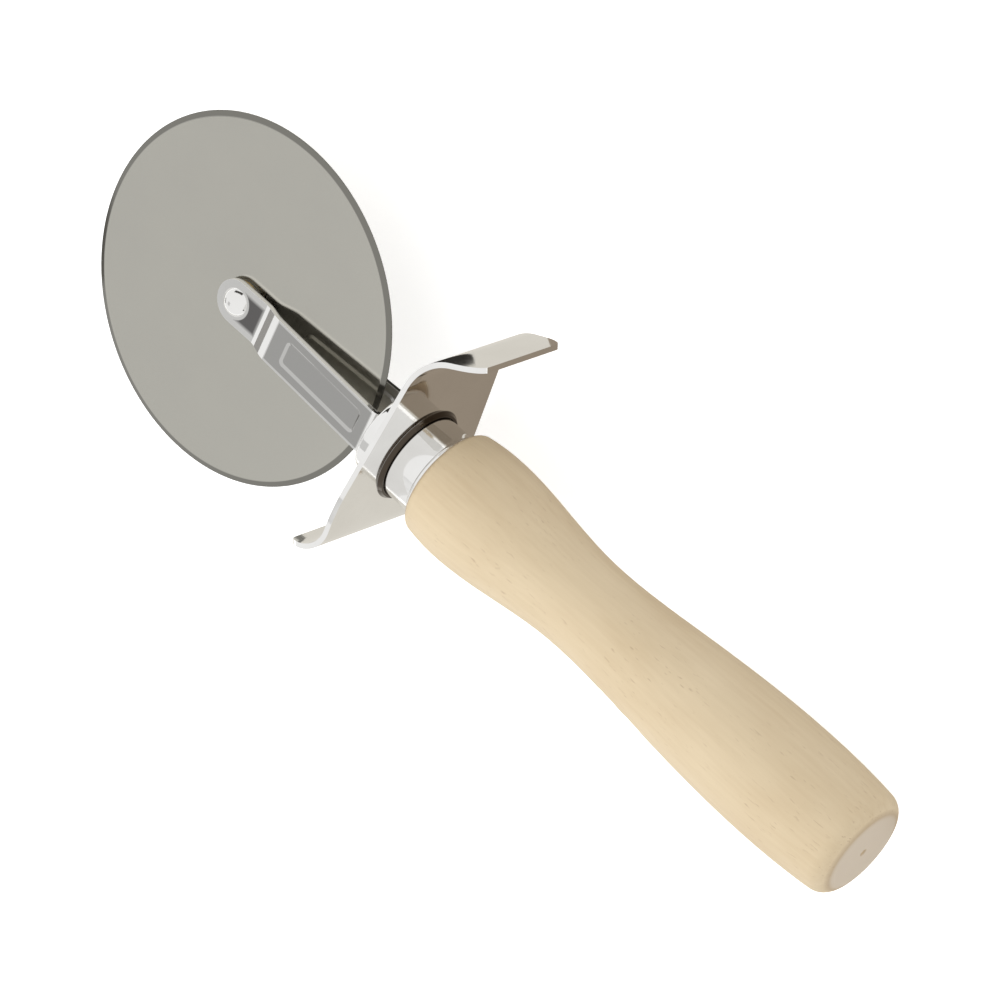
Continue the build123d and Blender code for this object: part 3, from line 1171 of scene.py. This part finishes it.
@dataclass(frozen=True)
class Studio:
    """A white room: floor, world, one soft lamp and the cards that the metal reflects, among them
    sheets of painted shade under the tool.
    """

    # Painted shade: the tan of the handle's shadow on the floor and of the shaded wood, as the
    # plate reflects them.
    PAINTED_SHADE_TAN = (0.33, 0.275, 0.215)
    floor_size: float = 6.0
    floor_colour: Colour = (0.9, 0.9, 0.9)
    floor_lift: float = 0.6
    world_strength: float = 0.8
    key_power: float = 5.6
    key_size: float = 1.2
    key_place: Place = (-0.42, -0.42, 0.95)
    cards: tuple[StudioCard, ...] = (
        StudioCard(
            "grey_card", (-0.692, -0.641, 0.915), size=(0.37, 0.5), glow=(0.65, 0.65, 0.645),
            aim=(-0.147, 0.017, 0.003), roll=-31.2),
        StudioCard(
            "dark_flag", (-0.25, 0.42, 0.18), size=(0.5, 0.12), glow=(0.05, 0.047, 0.042),
            aim=(-0.02, 0.0, 0.026)),
        StudioCard(
            "low_flag", (-0.568, -0.316, 0.161), size=(0.2, 0.1), glow=(0.36, 0.35, 0.335),
            aim=(-0.076, 0.0, 0.029)),
        StudioCard(
            "cream_sheet", (0.0, 0.0, 0.0002), size=(0.5, 0.4), glow=(0.76, 0.73, 0.665)),
        # Painted shade: these sheets under the handle, seen only in reflections, stand in for its
        # shadow on the floor and the shaded wood.
        StudioCard("painted_shade_sheet", (0.066, 0.056, 0.0004), size=(0.168, 0.128), glow=PAINTED_SHADE_TAN),
        StudioCard("painted_shade_strip", (-0.02, 0.012, 0.0004), size=(0.005, 0.044), glow=PAINTED_SHADE_TAN),
        # Painted shadow: this near-black sheet on the floor under the wheel's edge, seen only in
        # reflections, stands in for the tool's shadow there.
        StudioCard(
            "painted_shadow_sheet", (-0.0645, 0.016, 0.0006), size=(0.041, 0.052),
            glow=(0.03, 0.028, 0.025)))

    def build(self) -> None:
        """Set up the floor, the world, the lamp and the cards."""
        self.build_world()
        self.build_floor()
        self.build_lamp()
        for card in self.cards:
            card.build()
        bpy.context.scene.view_settings.view_transform = "Standard"

    @staticmethod
    def seen_directly(bench: NodeBench) -> Socket:
        """Tell rays that show a surface from those that only light it.

        Args:
            bench: The tree to add to.

        Returns:
            1 for rays from the camera, a reflection or glass, and 0 for the rest.
        """
        path = bench.add("ShaderNodeLightPath").outputs
        direct = bench.calc("MAXIMUM", path["Is Camera Ray"], path["Is Glossy Ray"])
        return bench.calc("MAXIMUM", direct, path["Is Transmission Ray"])

    def build_world(self) -> None:
        """Make a world that looks white and lights softly."""
        world = bpy.data.worlds.new("white_room")
        world.use_nodes = True
        bpy.context.scene.world = world
        bench = NodeBench(world.node_tree)
        strength = bench.spread(
            self.seen_directly(bench), (0.0, 1.0), (self.world_strength, 1.0))
        bench.feed(bench.tree.nodes["Background"], {"Color": WHITE, "Strength": strength})

    def build_floor(self) -> None:
        """Lay a pale floor that keeps the tool's shadow."""
        bpy.ops.mesh.primitive_plane_add(size=self.floor_size)
        floor = bpy.context.object
        floor.name = "floor"
        material, bench = start_material("pale_floor")
        lift = bench.calc("MULTIPLY", self.seen_directly(bench), self.floor_lift)
        bench.feed(bench.tree.nodes["Principled BSDF"], {
            "Base Color": (*self.floor_colour, 1.0), "Roughness": 1.0,
            "Specular IOR Level": 0.0, "Emission Color": WHITE, "Emission Strength": lift})
        floor.data.materials.append(material)

    def build_lamp(self) -> None:
        """Hang the soft lamp, aimed at the tool."""
        bpy.ops.object.light_add(type="AREA", location=self.key_place)
        lamp = bpy.context.object
        lamp.name = "soft_lamp"
        lamp.data.energy = self.key_power
        lamp.data.size = self.key_size
        lamp.rotation_euler = Vector(self.key_place).to_track_quat("Z", "Y").to_euler()
        lamp.visible_glossy = False


@dataclass(frozen=True)
class Viewpoint:
    """The camera at the photograph's viewing angle."""

    place: Place = (0.48932, 0.69245, 0.98022)
    turn: Place = (-17.085, 38.203, 28.392)
    lens: float = 178.61

    def build(self) -> None:
        """Stand the camera in its place."""
        turn = Euler([math.radians(angle) for angle in self.turn])
        bpy.ops.object.camera_add(location=self.place, rotation=turn)
        camera = bpy.context.object
        camera.name = "camera"
        camera.data.lens = self.lens
        bpy.context.scene.camera = camera


def finishes(layout: Layout) -> list[MetalFinish | WoodFinish]:
    """Give the finish of each slot.

    Args:
        layout: The shared places.

    Returns:
        One finish per slot of the record.
    """
    return [
        PaintedRimBlade(
            Slot.BLADE_STEEL, colour=(0.65, 0.635, 0.575), worn_colour=(0.63, 0.615, 0.56),
            roughness=(0.11, 0.13), scratch_height=0.004, layout=layout),
        PaintedShadePlate(
            Slot.BRIGHT_PLATE, colour=(0.84, 0.835, 0.82), worn_colour=(0.79, 0.782, 0.765),
            roughness=(0.05, 0.12), scratch_height=0.006, layout=layout),
        MetalFinish(
            Slot.PLAIN_STEEL, colour=(0.58, 0.57, 0.55), worn_colour=(0.48, 0.47, 0.45),
            roughness=(0.28, 0.4), scratch_height=0.02),
        MetalFinish(
            Slot.BUSH_BRASS, colour=(0.72, 0.56, 0.30), worn_colour=(0.56, 0.42, 0.22),
            roughness=(0.2, 0.35), scratch_height=0.01),
        WoodFinish(
            Slot.PALE_WOOD, light=(0.765, 0.625, 0.42), middle=(0.725, 0.585, 0.385),
            dark=(0.68, 0.535, 0.34), fleck=(0.46, 0.31, 0.18), end_grain=(0.66, 0.56, 0.44),
            brown=(0.34, 0.22, 0.125), layout=layout)]


def dress_nodes(frame: dict[str, Any], materials: dict[Slot, Material]) -> None:
    """Give every node of the frame the finish that the record names for it.

    Args:
        frame: The loaded frame.
        materials: The finished materials by slot.
    """
    for part in frame["record"]["subparts"]:
        node = frame["nodes"][part["node"]]
        node.data.materials.clear()
        node.data.materials.append(materials[Slot(part["material_slot"])])
        LOG.info("dressed %s in %s", part["node"], part["material_slot"])


def main() -> None:
    """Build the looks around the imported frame."""
    logging.basicConfig(level=logging.INFO)
    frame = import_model()
    bpy.ops.object.select_all(action="DESELECT")
    layout = Layout()
    materials = {finish.slot: finish.material() for finish in finishes(layout)}
    dress_nodes(frame, materials)
    CuttingWheel(layout, materials[Slot.BLADE_STEEL]).build()
    ForkArm(layout, materials[Slot.BRIGHT_PLATE]).build()
    FingerGuard(layout, materials[Slot.BRIGHT_PLATE]).build()
    Studio().build()
    Viewpoint().build()


if __name__ == "__main__":
    main()
